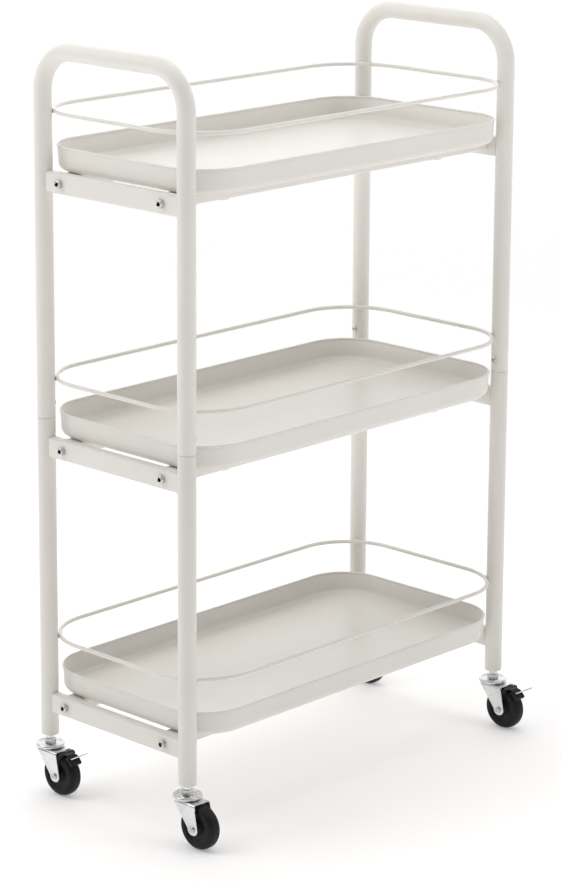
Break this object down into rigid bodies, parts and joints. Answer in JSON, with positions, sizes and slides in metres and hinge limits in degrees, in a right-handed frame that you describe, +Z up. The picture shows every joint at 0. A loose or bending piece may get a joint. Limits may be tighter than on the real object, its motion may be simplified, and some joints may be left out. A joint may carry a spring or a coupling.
{
  "type": "rolling pantry cart",
  "caption": "Narrow rolling storage cart with stacked tray shelves, wire guard rails, bent tube handles and swivel casters, some with brakes.",
  "frame": {"origin": "on the floor under the middle of the overall size", "axes": "+X along the trays' long side, -Y towards the user's long side, +Z up"},
  "size_m": [0.5966, 0.3305, 0.9317],
  "materials": {
    "coated_steel": "warm off-white satin powder coat",
    "zinc_sheet": "bright zinc plating on pressed steel",
    "fastener_steel": "plated steel, satin",
    "black_wheel": "black moulded wheel, matt",
    "black_plastic": "black moulded brake shoe, matt"
  },
  "bodies": {
    "frame": {"handle_left": "coated_steel", "leg_front_left": "coated_steel", "joint_screw_front_left": "fastener_steel", "leg_back_left": "coated_steel", "joint_screw_back_left": "fastener_steel", "handle_right": "coated_steel", "leg_front_right": "coated_steel", "joint_screw_front_right": "fastener_steel", "leg_back_right": "coated_steel", "joint_screw_back_right": "fastener_steel", "guard_rail_bottom": "coated_steel", "tray_bottom": "coated_steel", "support_bar_bottom_front": "coated_steel", "support_bar_bottom_back": "coated_steel", "crossbar_bottom_left": "coated_steel", "bolt_bottom_front_left": "fastener_steel", "bolt_bottom_back_left": "fastener_steel", "crossbar_bottom_right": "coated_steel", "bolt_bottom_front_right": "fastener_steel", "bolt_bottom_back_right": "fastener_steel", "guard_rail_middle": "coated_steel", "tray_middle": "coated_steel", "support_bar_middle_front": "coated_steel", "support_bar_middle_back": "coated_steel", "crossbar_middle_left": "coated_steel", "bolt_middle_front_left": "fastener_steel", "bolt_middle_back_left": "fastener_steel", "crossbar_middle_right": "coated_steel", "bolt_middle_front_right": "fastener_steel", "bolt_middle_back_right": "fastener_steel", "guard_rail_top": "coated_steel", "tray_top": "coated_steel", "support_bar_top_front": "coated_steel", "support_bar_top_back": "coated_steel", "crossbar_top_left": "coated_steel", "bolt_top_front_left": "fastener_steel", "bolt_top_back_left": "fastener_steel", "crossbar_top_right": "coated_steel", "bolt_top_front_right": "fastener_steel", "bolt_top_back_right": "fastener_steel", "caster_stem_front_left": "zinc_sheet", "caster_stem_back_left": "zinc_sheet", "caster_stem_front_right": "zinc_sheet", "caster_stem_back_right": "zinc_sheet"},
    "fork_front_left": {"caster_fork_front_left": "zinc_sheet", "caster_axle_front_left": "fastener_steel"},
    "wheel_front_left": {"caster_wheel_front_left": "black_wheel"},
    "fork_back_left": {"caster_fork_back_left": "zinc_sheet", "caster_axle_back_left": "fastener_steel"},
    "wheel_back_left": {"caster_wheel_back_left": "black_wheel"},
    "brake_back_left": {"brake_lever_back_left": "zinc_sheet", "brake_shoe_back_left": "black_plastic"},
    "fork_front_right": {"caster_fork_front_right": "zinc_sheet", "caster_axle_front_right": "fastener_steel"},
    "wheel_front_right": {"caster_wheel_front_right": "black_wheel"},
    "brake_front_right": {"brake_lever_front_right": "zinc_sheet", "brake_shoe_front_right": "black_plastic"},
    "fork_back_right": {"caster_fork_back_right": "zinc_sheet", "caster_axle_back_right": "fastener_steel"},
    "wheel_back_right": {"caster_wheel_back_right": "black_wheel"}
  },
  "joints": [
    {"name": "swivel_front_left", "type": "hinge", "parent": "frame", "child": "fork_front_left", "pos_m": [-0.28, -0.1025, 0.0575], "axis": [0, 0, 1], "continuous": true},
    {"name": "wheel_spin_front_left", "type": "hinge", "parent": "fork_front_left", "child": "wheel_front_left", "pos_m": [-0.28, -0.124, 0.027], "axis": [1, 0, 0], "continuous": true},
    {"name": "swivel_back_left", "type": "hinge", "parent": "frame", "child": "fork_back_left", "pos_m": [-0.28, 0.1375, 0.0575], "axis": [0, 0, 1], "continuous": true},
    {"name": "wheel_spin_back_left", "type": "hinge", "parent": "fork_back_left", "child": "wheel_back_left", "pos_m": [-0.28, 0.116, 0.027], "axis": [1, 0, 0], "continuous": true},
    {"name": "brake_press_back_left", "type": "hinge", "parent": "fork_back_left", "child": "brake_back_left", "pos_m": [-0.28, 0.117, 0.0485], "axis": [1, 0, 0], "range_deg": [0, 5]},
    {"name": "swivel_front_right", "type": "hinge", "parent": "frame", "child": "fork_front_right", "pos_m": [0.28, -0.1025, 0.0575], "axis": [0, 0, 1], "continuous": true},
    {"name": "wheel_spin_front_right", "type": "hinge", "parent": "fork_front_right", "child": "wheel_front_right", "pos_m": [0.28, -0.124, 0.027], "axis": [1, 0, 0], "continuous": true},
    {"name": "brake_press_front_right", "type": "hinge", "parent": "fork_front_right", "child": "brake_front_right", "pos_m": [0.28, -0.123, 0.0485], "axis": [1, 0, 0], "range_deg": [0, 5]},
    {"name": "swivel_back_right", "type": "hinge", "parent": "frame", "child": "fork_back_right", "pos_m": [0.28, 0.1375, 0.0575], "axis": [0, 0, 1], "continuous": true},
    {"name": "wheel_spin_back_right", "type": "hinge", "parent": "fork_back_right", "child": "wheel_back_right", "pos_m": [0.28, 0.116, 0.027], "axis": [1, 0, 0], "continuous": true}
  ]
}
